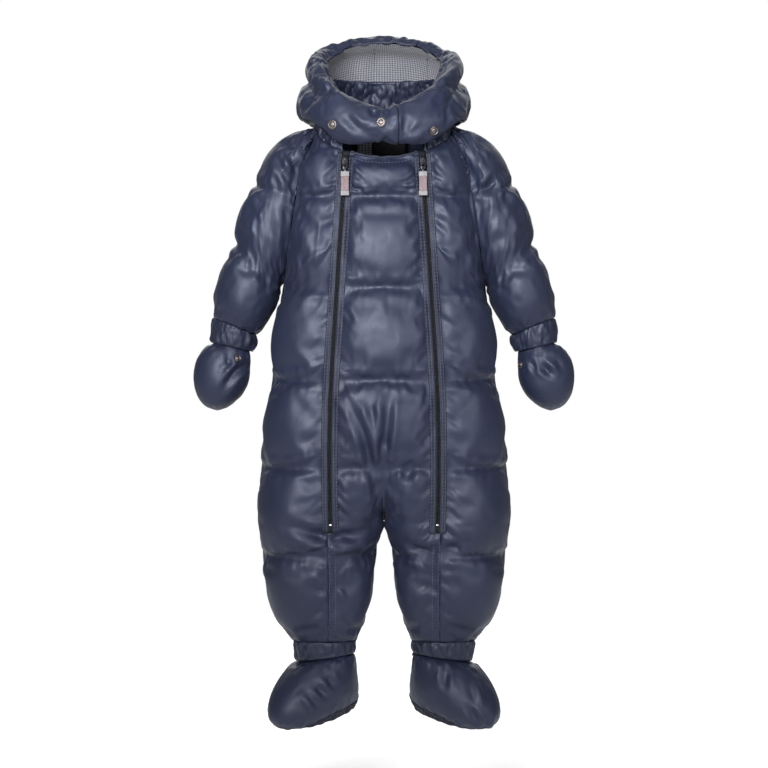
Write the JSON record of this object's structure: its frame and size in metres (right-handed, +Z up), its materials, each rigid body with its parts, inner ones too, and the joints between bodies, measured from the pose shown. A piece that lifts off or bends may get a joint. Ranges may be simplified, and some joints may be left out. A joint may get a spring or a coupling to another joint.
{
  "type": "baby snowsuit",
  "caption": "Quilted padded all-in-one for a baby, filled out with no wearer, with hood, mittens, booties and long front zips whose pulls swing.",
  "frame": {"origin": "inside the neck on the centre line, level with the tops of the zips, where the wearer's shoulders carry the suit", "axes": "+Z up, -Y to the front, +X to the wearer's left"},
  "size_m": [0.4376, 0.2236, 0.7962],
  "materials": {
    "shell_fabric": "navy semi-gloss nylon, padded",
    "lining_check": "small check in navy and off-white cotton",
    "sole_fabric": "dark matt grip fabric",
    "zip_tape": "black woven tape and coil",
    "zip_metal": "black enamel",
    "pull_leather": "pinkish grey, with light grey ends",
    "snap_metal": "aged silver"
  },
  "bodies": {
    "garment": {"front_center": "shell_fabric", "back": "shell_fabric", "collar": "shell_fabric", "hood_center": "shell_fabric", "hood_lining": "lining_check", "snap_chin": "snap_metal", "front_side_left": "shell_fabric", "sleeve_left": "shell_fabric", "sleeve_cuff_left": "shell_fabric", "mitten_left": "shell_fabric", "ankle_cuff_left": "shell_fabric", "bootie_left": "shell_fabric", "bootie_sole_left": "sole_fabric", "zip_left": "zip_tape", "slider_left": "zip_metal", "hood_left": "shell_fabric", "snap_left": "snap_metal", "front_side_right": "shell_fabric", "sleeve_right": "shell_fabric", "sleeve_cuff_right": "shell_fabric", "mitten_right": "shell_fabric", "ankle_cuff_right": "shell_fabric", "bootie_right": "shell_fabric", "bootie_sole_right": "sole_fabric", "zip_right": "zip_tape", "slider_right": "zip_metal", "hood_right": "shell_fabric", "snap_right": "snap_metal"},
    "pull_left": {"pull_left": "pull_leather"},
    "pull_right": {"pull_right": "pull_leather"}
  },
  "joints": [
    {"name": "pull_left_swing", "type": "hinge", "parent": "garment", "child": "pull_left", "pos_m": [0.04391, -0.06839, -0.02137], "axis": [-1, 0, 0], "range_deg": [0, 90]},
    {"name": "pull_right_swing", "type": "hinge", "parent": "garment", "child": "pull_right", "pos_m": [-0.04391, -0.06839, -0.02137], "axis": [-1, 0, 0], "range_deg": [0, 90]}
  ]
}
